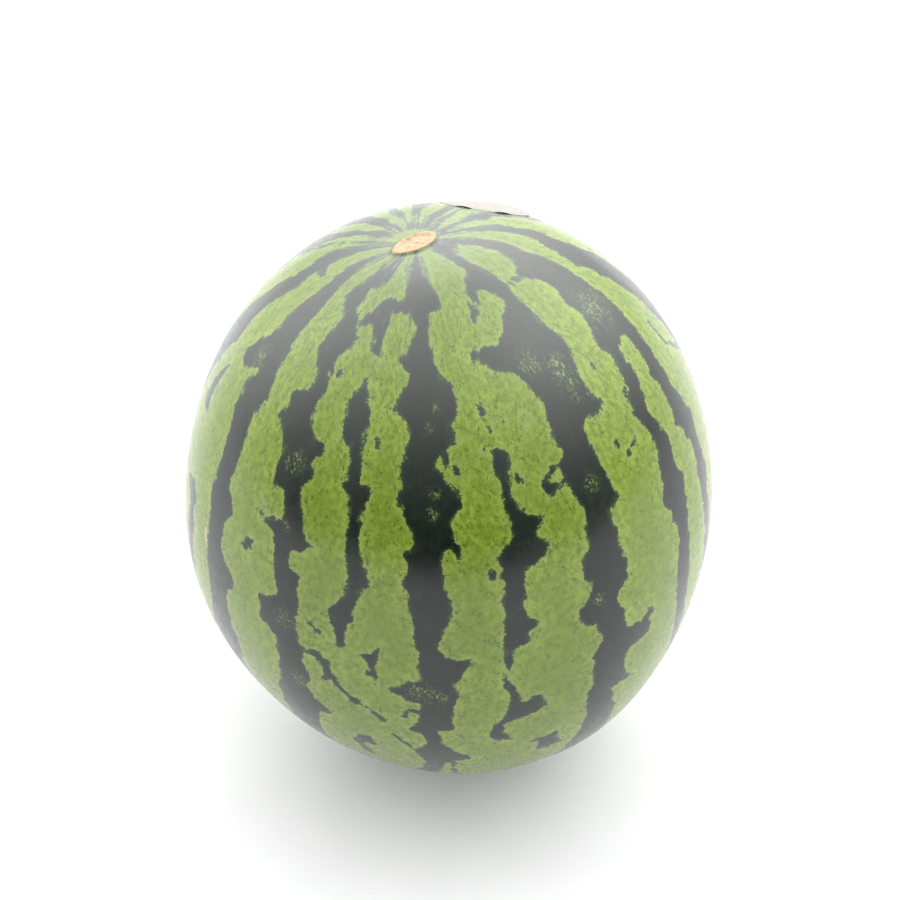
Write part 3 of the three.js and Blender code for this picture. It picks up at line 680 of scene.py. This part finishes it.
class Nodes:
    """Short ways of making the nodes of a new material or world."""

    def __init__(self, owner, output="ShaderNodeOutputMaterial"):
        owner.use_nodes = True
        self.owner, self.tree = owner, owner.node_tree
        self.tree.nodes.clear()
        self.output = self.tree.nodes.new(output)
        self.places = self.tree.nodes.new("ShaderNodeTexCoord").outputs

    def node(self, kind, inputs=(), **settings):
        """A node's outputs. Its inputs are given in order or by name, as values or other outputs."""
        made = self.tree.nodes.new(kind)
        for name, value in settings.items():
            setattr(made, name, value)
        for key, value in inputs.items() if isinstance(inputs, dict) else enumerate(inputs):
            socket = made.inputs[key]
            if isinstance(value, bpy.types.NodeSocket):
                self.tree.links.new(value, socket)
            elif socket.type == "RGBA":
                socket.default_value = (*value, 1)
            else:
                socket.default_value = value
        return made.outputs

    def math(self, operation, *values, clamp=False):
        return self.node("ShaderNodeMath", values, operation=operation, use_clamp=clamp)[0]

    def vector(self, operation, a, b):
        return self.node("ShaderNodeVectorMath", (a, b), operation=operation)[0]

    def dot(self, a, b):
        return self.node("ShaderNodeVectorMath", (a, b), operation="DOT_PRODUCT")["Value"]

    def object_place(self):
        return self.vector("MULTIPLY", self.places["Object"], (1 / MM,) * 3)

    def stretched(self, place, axis, share):
        """A place with its part along an axis shortened to a share, which stretches marks along it."""
        axis = tuple(axis)
        shortening = self.math("MULTIPLY", self.dot(place, axis), 1 - share)
        part = self.node("ShaderNodeVectorMath", {0: axis, "Scale": shortening}, operation="SCALE")
        return self.vector("SUBTRACT", place, part[0])

    def attribute(self, name, output="Fac"):
        return self.node("ShaderNodeAttribute", attribute_name=name)[output]

    def noise(self, size, place, detail=2, roughness=0.5, output="Fac"):
        inputs = {"Vector": place, "Scale": 1 / size, "Detail": detail, "Roughness": roughness}
        return self.node("ShaderNodeTexNoise", inputs)[output]

    def cells(self, size, place, feature="F1"):
        inputs = {"Vector": place, "Scale": 1 / size}
        return self.node("ShaderNodeTexVoronoi", inputs, feature=feature)["Distance"]

    def ramp(self, value, low, high, to_low=0.0, to_high=1.0):
        inputs = (value, low, high, to_low, to_high)
        return self.node("ShaderNodeMapRange", inputs, interpolation_type="SMOOTHSTEP")[0]

    def mix(self, share, a, b, blend="MIX"):
        inputs = {"Factor": share, "A": a, "B": b}
        return self.node("ShaderNodeMix", inputs, data_type="RGBA", blend_type=blend)["Result"]

    def bump(self, height, millimetres):
        inputs = {"Strength": 1, "Distance": millimetres * MM, "Height": height}
        return self.node("ShaderNodeBump", inputs)[0]

    def surface(self, **values):
        inputs = {name.replace("_", " "): value for name, value in values.items()}
        return self.finish(self.node("ShaderNodeBsdfPrincipled", inputs)[0])

    def finish(self, shader):
        self.tree.links.new(shader, self.output.inputs[0])
        return self.owner


PALE_GREEN = (0.272, 0.358, 0.045)
DEEP_PALE_GREEN = (0.13, 0.20, 0.011)
SHOULDER_SHADE = (0.70, 0.72, 0.95)
RIM_GREEN = (0.25, 0.325, 0.081)
FLECK_GREEN = (0.044, 0.094, 0.006)
EDGE_GREEN = (0.019, 0.052, 0.0075)
DARK_GREEN = (0.003, 0.0075, 0.004)
DARK_GREEN_LIGHTER = (0.0075, 0.016, 0.006)
FRECKLE_GREEN = (0.19, 0.26, 0.07)
# Whitish: wax bloom, and painted reflection of the bright studio light on the upper skin
BLOOM_AND_REFLECTION = (0.62, 0.64, 0.62)
CORK = (0.43, 0.30, 0.18)
CORK_PALE = (0.48, 0.39, 0.265)
CORK_DARK = (0.31, 0.18, 0.095)
CORK_RIM = (0.42, 0.28, 0.15)

# The edges of the stripes: the size of each kind of mark, and how far it moves the edge
CELL_SIZE = 13  # round cells of pale green, with a network of veins between them
CELL_BEND_SIZE = 8
CELL_BEND = 6
CELL_BULGE = (0.8, -0.6)  # at a cell's border, and from BULGE_REACH inwards
BULGE_REACH = 4
LOBE_SIZE, LOBE_DEPTH = 3.6, 1.5
FEATHER_SIZE, FEATHER_DEPTH = 1.5, 2.0
TOOTH_SIZE, TOOTH_DEPTH = 0.8, 2.1
TOOTH_SHAPE = (0.5, 0.5, 1.2)  # makes the teeth about twice as wide as they are tall
TUFT_SIZE, TUFT_DEPTH = 2.4, 7.0
TUFTS_FADE = (38, 14)  # millimetres from the stem
VEIN_FADE = (0.5, 0.15)  # distances from a cell's border
VEIN_PATCHES = 9

# Marks in the pale green: their sizes, and how strongly they cover the colour below
BROAD_SIZE, BROAD_STRENGTH = 30, 0.35
MOTTLE_SIZE, MOTTLE_STRENGTH = 3.0, 0.85
FINE_SIZE, FINE_STRENGTH = 0.9, 0.6
MIDDLE_STRENGTH = 0.4  # of the deeper green far from the stripes
RIM_STRENGTH = 0.5
DASH_SIZE, DASH_STRENGTH = 1.1, 0.85
DASH_STRETCH = 0.75
ALONG = (0, 0, 1)  # along the fruit, in the places from growth_place
DASH_CLUMPS = 6
BLOT_SIZE, BLOT_STRENGTH = 3.2, 0.85
VEIN_STRENGTH = 0.5

# Marks in the dark green
DARK_MOTTLE_SIZE = 9
EDGE_STRENGTH = 0.8
SPOT_SIZE = 1.5
HALO_SIZE, HALO_STRENGTH = 3.5, 0.9

# The scar's cork
STRAND_SIZE = 1.1
STRAND_STRETCH = 0.35
STRAND_DARK_STRENGTH = 0.9
CORK_PIT_SIZE, CORK_PIT_STRENGTH = 2.2, 0.6
CORK_RIM_STRENGTH = 0.85

# The skin as a whole
BLOOM_AND_REFLECTION_SHARES = (0.03, 0.08)  # of whitish wax bloom and painted reflection of the studio light, on the pale green and on the dark
BLOOM_AND_REFLECTION_FADE = (150, 50)  # millimetres from the stem; the painted reflection is strongest towards the stem, on top
CRUMB_SIZE = 1.2  # of the ragged borders of the cork
SCUFF_CRUMBS, SCAR_CRUMBS = 1.2, 0.8
SCUFF_STRENGTH = 0.9
GLOSS_SIZE = 5
SKIN_ROUGHNESS = (0.22, 0.3)
CORK_ROUGHNESS = (0.8, 0.8, 0.8)
SKIN_SPECULAR = 0.56
SKIN_SHEEN = 0.1
SHEEN_ROUGHNESS = 0.3
GRAIN_SIZE = 1.3
GRAIN_SHARE = 0.05  # of the cork's height
CORK_HEIGHT = 0.2


def stripe_edge(n, growth):
    """Millimetres into the dark, with round lobes of pale green and ragged teeth, and vein strength."""

    def swing(value, depth):
        return n.math("MULTIPLY", n.math("SUBTRACT", value, 0.5), depth)

    bend = n.vector("MULTIPLY", n.noise(CELL_BEND_SIZE, growth, output="Color"), (CELL_BEND,) * 3)
    to_border = n.cells(CELL_SIZE, n.vector("ADD", growth, bend), "DISTANCE_TO_EDGE")
    to_border = n.math("MULTIPLY", to_border, CELL_SIZE)
    bulges = n.ramp(to_border, 0, BULGE_REACH, *CELL_BULGE)
    lobes = swing(n.cells(LOBE_SIZE, growth), LOBE_DEPTH)
    feathers = swing(n.noise(FEATHER_SIZE, growth, roughness=0.6), FEATHER_DEPTH)
    tooth_place = n.vector("MULTIPLY", growth, TOOTH_SHAPE)
    teeth = swing(n.noise(TOOTH_SIZE, tooth_place, detail=1), TOOTH_DEPTH)
    ragged = n.math("ADD", n.math("ADD", bulges, lobes), n.math("ADD", feathers, teeth))
    stem_distance = n.attribute("stem_distance")
    raggedness = n.ramp(stem_distance, 10, 48, 0.25, 1)
    tufts = swing(n.noise(TUFT_SIZE, n.object_place(), detail=3, roughness=0.65), TUFT_DEPTH)
    tufts = n.math("MULTIPLY", tufts, n.ramp(stem_distance, *TUFTS_FADE))
    edge = n.math("MULTIPLY_ADD", ragged, raggedness, n.attribute("stripe"))
    edge = n.math("ADD", edge, tufts)
    patchy = n.ramp(n.noise(VEIN_PATCHES, growth, detail=1), 0.42, 0.62)
    veins = n.math("MULTIPLY", n.ramp(to_border, *VEIN_FADE), n.ramp(edge, -9, -1))
    return edge, n.math("MULTIPLY", veins, patchy)


def pale_green(n, growth, edge):
    """The pale green with its deeper mottle, and a lighter rim along the stripes."""
    broad = n.noise(BROAD_SIZE, growth)
    mottle = n.noise(MOTTLE_SIZE, growth, detail=3, roughness=0.65)
    fine = n.noise(FINE_SIZE, growth, roughness=0.7)
    colour = n.mix(n.ramp(broad, 0.35, 0.65, 0, BROAD_STRENGTH), PALE_GREEN, DEEP_PALE_GREEN)
    colour = n.mix(n.ramp(edge, -3, -10, 0, MIDDLE_STRENGTH), colour, DEEP_PALE_GREEN)
    colour = n.mix(n.ramp(mottle, 0.38, 0.62, 0, MOTTLE_STRENGTH), colour, DEEP_PALE_GREEN)
    colour = n.mix(n.ramp(fine, 0.42, 0.62, 0, FINE_STRENGTH), colour, DEEP_PALE_GREEN)
    rim = n.math("MULTIPLY", n.ramp(edge, -2.4, -0.6), RIM_STRENGTH)
    return n.mix(rim, colour, RIM_GREEN)


def dash_mask(n, growth, stem_distance):
    """Fine dark dashes along the fruit, in clumps, and more of them near its two ends."""
    near_stem = n.ramp(stem_distance, 100, 40, 0, 0.04)
    near_blossom = n.ramp(stem_distance, 190, 250, 0, 0.03)
    dashes = n.noise(DASH_SIZE, n.stretched(growth, ALONG, DASH_STRETCH), detail=1)
    dashes = n.ramp(n.math("ADD", dashes, n.math("ADD", near_stem, near_blossom)), 0.59, 0.68)
    clumps = n.ramp(n.noise(DASH_CLUMPS, growth), 0.4, 0.6, 0.1, 1)
    return n.math("MULTIPLY", n.math("MULTIPLY", dashes, clumps), DASH_STRENGTH)


def pale_skin(n, growth, edge, veins):
    """The skin between the stripes: pale green, dashes, blots near the stripes, and veins."""
    stem_distance = n.attribute("stem_distance")
    colour = n.mix(dash_mask(n, growth, stem_distance), pale_green(n, growth, edge), FLECK_GREEN)
    blots = n.ramp(n.noise(BLOT_SIZE, growth, roughness=0.6), 0.65, 0.7)
    blots = n.math("MULTIPLY", blots, n.ramp(edge, -8, -1, 0, BLOT_STRENGTH))
    colour = n.mix(blots, colour, FLECK_GREEN)
    colour = n.mix(n.math("MULTIPLY", veins, VEIN_STRENGTH), colour, FLECK_GREEN)
    shoulder = n.ramp(stem_distance, 85, 15)
    return n.mix(shoulder, colour, SHOULDER_SHADE, blend="MULTIPLY")


def dark_skin(n, growth, edge):
    """The stripes: nearly black green, lighter along their edges, with pale freckles in soft halos."""
    mottle = n.noise(DARK_MOTTLE_SIZE, growth, detail=3, roughness=0.6)
    colour = n.mix(n.ramp(mottle, 0.45, 0.75), DARK_GREEN, DARK_GREEN_LIGHTER)
    colour = n.mix(n.ramp(edge, 0.2, 1.6, EDGE_STRENGTH, 0), colour, EDGE_GREEN)
    spots = n.ramp(n.noise(SPOT_SIZE, growth), 0.53, 0.62)
    halo = n.ramp(n.noise(HALO_SIZE, growth, detail=1), 0.35, 0.6)
    freckle = n.attribute("freckle")
    halo = n.math("MULTIPLY", n.math("MULTIPLY", halo, freckle), HALO_STRENGTH, clamp=True)
    colour = n.mix(halo, colour, EDGE_GREEN)
    return n.mix(n.math("MULTIPLY", spots, freckle, clamp=True), colour, FRECKLE_GREEN)


def cork(n, place, scar):
    """The scar's colour: long pale strands, brown pits, and an orange rim."""
    turn = math.radians(SCAR_TURN)
    long_axis = math.cos(turn) * front + math.sin(turn) * side
    strands_place = n.stretched(place, long_axis, STRAND_STRETCH)
    strands = n.noise(STRAND_SIZE, strands_place, detail=3, roughness=0.6)
    colour = n.mix(n.ramp(strands, 0.38, 0.66), CORK, CORK_PALE)
    colour = n.mix(n.ramp(strands, 0.46, 0.3, 0, STRAND_DARK_STRENGTH), colour, CORK_DARK)
    pits = n.noise(CORK_PIT_SIZE, strands_place, detail=3)
    colour = n.mix(n.ramp(pits, 0.56, 0.68, 0, CORK_PIT_STRENGTH), colour, CORK_DARK)
    return n.mix(n.ramp(scar, 1.1, 0.4, 0, CORK_RIM_STRENGTH), colour, CORK_RIM), strands


def rind_material():
    """Waxy striped skin with a little wax bloom and painted reflection towards the stem, a corky scuff,
    and the corky scar.
    """
    n = Nodes(bpy.data.materials.new("rind"))
    place = n.object_place()
    growth = n.attribute("growth", "Vector")
    edge, veins = stripe_edge(n, growth)
    stem_distance = n.attribute("stem_distance")
    softness = n.ramp(stem_distance, 9, 40, 1.5, 0.3)
    dark = n.ramp(edge, n.math("MULTIPLY", softness, -1.0), softness)
    skin = n.mix(dark, pale_skin(n, growth, edge, veins), dark_skin(n, growth, edge))
    # A whitish haze, stronger on the dark stripes and towards the stem: partly wax bloom, partly
    # painted reflection of the studio light
    bloom_and_reflection = n.math("MULTIPLY", n.ramp(stem_distance, *BLOOM_AND_REFLECTION_FADE), n.ramp(dark, 0, 1, *BLOOM_AND_REFLECTION_SHARES))
    skin = n.mix(bloom_and_reflection, skin, BLOOM_AND_REFLECTION)
    crumbs = n.noise(CRUMB_SIZE, place)
    scuff = n.math("MULTIPLY_ADD", crumbs, SCUFF_CRUMBS, n.attribute("scuff"))
    skin = n.mix(n.ramp(scuff, 0.2, 0.8, 0, SCUFF_STRENGTH), skin, CORK_PALE)
    scar = n.attribute("scar")
    ragged = n.math("MULTIPLY_ADD", n.math("SUBTRACT", crumbs, 0.5), SCAR_CRUMBS, scar)
    corky = n.ramp(ragged, -0.1, 0.15)
    cork_colour, strands = cork(n, place, scar)
    uneven = n.noise(GLOSS_SIZE, growth)
    grain = n.noise(GRAIN_SIZE, growth)
    height = n.math("MULTIPLY_ADD", strands, corky, n.math("MULTIPLY", grain, GRAIN_SHARE))
    return n.surface(
        Base_Color=n.mix(corky, skin, cork_colour),
        Roughness=n.mix(corky, n.ramp(uneven, 0.3, 0.7, *SKIN_ROUGHNESS), CORK_ROUGHNESS),
        Specular_IOR_Level=SKIN_SPECULAR,
        Sheen_Weight=SKIN_SHEEN,
        Sheen_Roughness=SHEEN_ROUGHNESS,
        Normal=n.bump(height, CORK_HEIGHT),
    )


PAPER = (0.355, 0.350, 0.318)
PAPER_FIBRE = (0.335, 0.330, 0.300)
PRINT = (0.33, 0.235, 0.25)
PRINT_STRENGTH = 0.75
PAPER_ROUGHNESS = (0.6, 0.7)
PAPER_SPECULAR = 0.05
FIBRE_SIZE, FIBRE_HEIGHT = 0.35, 0.02
RING = (16.0, 17.0)  # millimetres from the sticker's middle
RING_BLUR = 0.2
PETALS = 12
PETAL_REACH = (3.5, 8.5)
PETAL_BLUR = 0.3


def sticker_material():
    """Cream paper with generic print: a ring, and a ring of petals."""
    n = Nodes(bpy.data.materials.new("sticker_paper"))
    out = n.attribute("from_middle")

    def band(start, end, blur):
        return n.math("MULTIPLY", n.ramp(out, start, start + blur), n.ramp(out, end + blur, end))

    wave = n.math("COSINE", n.math("MULTIPLY", n.attribute("turn"), PETALS))
    petals = n.math("MULTIPLY", n.ramp(wave, 0.05, 0.2), band(*PETAL_REACH, PETAL_BLUR))
    print_mask = n.math("MAXIMUM", band(*RING, RING_BLUR), petals)
    fibres = n.noise(FIBRE_SIZE, n.object_place(), detail=3)
    paper = n.mix(n.ramp(fibres, 0.3, 0.7), PAPER, PAPER_FIBRE)
    return n.surface(
        Base_Color=n.mix(n.math("MULTIPLY", print_mask, PRINT_STRENGTH), paper, PRINT),
        Roughness=n.ramp(fibres, 0.3, 0.7, *PAPER_ROUGHNESS),
        Specular_IOR_Level=PAPER_SPECULAR,
        Normal=n.bump(fibres, FIBRE_HEIGHT),
    )


def make_sticker():
    """A thin round sheet on the skin. Its near edge lifts in flutes, and its far edge is unstuck."""
    middle = direction_at(np.array(float(STICKER_AZIMUTH)), np.array(float(STICKER_FROM_STEM)))
    to_stem = unit(stem - stem @ middle * middle)
    across = np.cross(middle, to_stem)
    reach = body_reach(middle)
    turn = np.arange(STICKER_SEGMENTS) / STICKER_SEGMENTS * 2 * math.pi
    share = (np.arange(STICKER_RINGS) + 1) / STICKER_RINGS
    turn, share = np.meshgrid(turn, share)

    def sheet(share, turn, height):
        spread = (share * STICKER_RADIUS / reach)[..., None]
        toward = np.cos(turn)[..., None] * to_stem + np.sin(turn)[..., None] * across
        toward = np.cos(spread) * middle + np.sin(spread) * toward
        azimuth = np.degrees(np.arctan2(toward @ side, toward @ front))
        from_stem = np.degrees(np.arccos(toward @ stem))
        peel = bell(turned_to(np.degrees(turn), PEEL_TURN), PEEL_SPREAD)
        outward = np.clip((share - FLUTE_START) / (1 - FLUTE_START), 0, 1)
        outward = outward**2 * (3 - 2 * outward)  # eased at both ends
        flute = np.maximum(0, np.cos(FLUTES * turn)) * outward
        flute = flute * bell(turned_to(np.degrees(turn), FLUTES_TURN), FLUTES_SPREAD)
        lift = STICKER_GAP - SKIN_INSET + PEEL_RISE * peel * share**2 + FLUTE_RISE * flute + height
        return skin_points(azimuth, from_stem, lift)

    top = sheet(share, turn, STICKER_THICKNESS).reshape(-1, 3)
    under = sheet(share[::-1], turn, 0).reshape(-1, 3)
    middle_share, middle_turn = np.array([0.0]), np.array([0.0])
    first = sheet(middle_share, middle_turn, STICKER_THICKNESS)
    last = sheet(middle_share, middle_turn, 0)
    points = np.concatenate([first, top, under, last])
    faces = ring_faces(2 * STICKER_RINGS, STICKER_SEGMENTS)
    sticker = mesh_object("paper_sticker", points, faces)
    out = np.concatenate([[0], share.ravel(), share[::-1].ravel(), [0]]) * STICKER_RADIUS / MM
    add_values(sticker, "from_middle", out)
    add_values(sticker, "turn", np.concatenate([[0], turn.ravel(), turn.ravel(), [0]]))
    return sticker


# The studio

FLOOR_SIZE = 6
FLOOR_WHITE = (0.62, 0.62, 0.63)
FLOOR_SHADE = (0.60, 0.60, 0.61)
FLOOR_GLOW = (0.165, 0.165, 0.17)  # the floor is lit softly from below
FLOOR_GRAIN = 40  # millimetres
FLOOR_ROUGHNESS = 0.9
SOFT_GLOWS = [
    # azimuth, height, strength, sharpness
    (120, 10, 1.05, 8),
    (180, 10, 1.1, 8),
    (-120, 10, 1.5, 8),
    (60, 42, 1.35, 8),
    (120, 42, 2.75, 8),
    (180, 42, 4.1, 8),
    (-120, 42, 2.35, 8),
    (-60, 42, 0.65, 8),
    (0, 68, 0.75, 14),
    (90, 68, 1.9, 14),
    (-90, 68, 1.15, 14),
]


def make_floor():
    half = FLOOR_SIZE / 2
    corners = np.array([(-half, -half, 0), (half, -half, 0), (half, half, 0), (-half, half, 0)])
    floor = mesh_object("floor", corners, [(0, 1, 2, 3)])
    n = Nodes(bpy.data.materials.new("floor"))
    grain = n.noise(FLOOR_GRAIN, n.object_place(), detail=3)
    surface = n.surface(
        Base_Color=n.mix(n.ramp(grain, 0.3, 0.7), FLOOR_WHITE, FLOOR_SHADE),
        Roughness=FLOOR_ROUGHNESS,
        Emission_Color=FLOOR_GLOW,
        Emission_Strength=1.0,
    )
    floor.data.materials.append(surface)


def make_soft_light():
    """A white tent round the fruit, bright behind and beside it and dark where the camera is.

    Each glow is strength * exp(sharpness * (cosine - 1)), with the cosine of the angle from its middle.
    """
    world = bpy.data.worlds.new("studio")
    bpy.context.scene.world = world
    n = Nodes(world, "ShaderNodeOutputWorld")
    total = 0.0
    for azimuth, height, strength, sharpness in SOFT_GLOWS:
        cosine = n.dot(n.places["Generated"], compass(azimuth, height))
        power = n.math("MULTIPLY_ADD", cosine, sharpness, math.log(strength) - sharpness)
        total = n.math("ADD", total, n.math("EXPONENT", power))
    n.finish(n.node("ShaderNodeBackground", {"Color": (1, 1, 1), "Strength": total})[0])


# The whole

rind = make_rind()
rind.data.materials.append(rind_material())
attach(rind, "root")
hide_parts("melon")

sticker = make_sticker()
sticker.data.materials.append(sticker_material())
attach(sticker, "root")
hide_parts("sticker")

make_floor()
make_soft_light()
bpy.context.scene.view_settings.view_transform = "Standard"
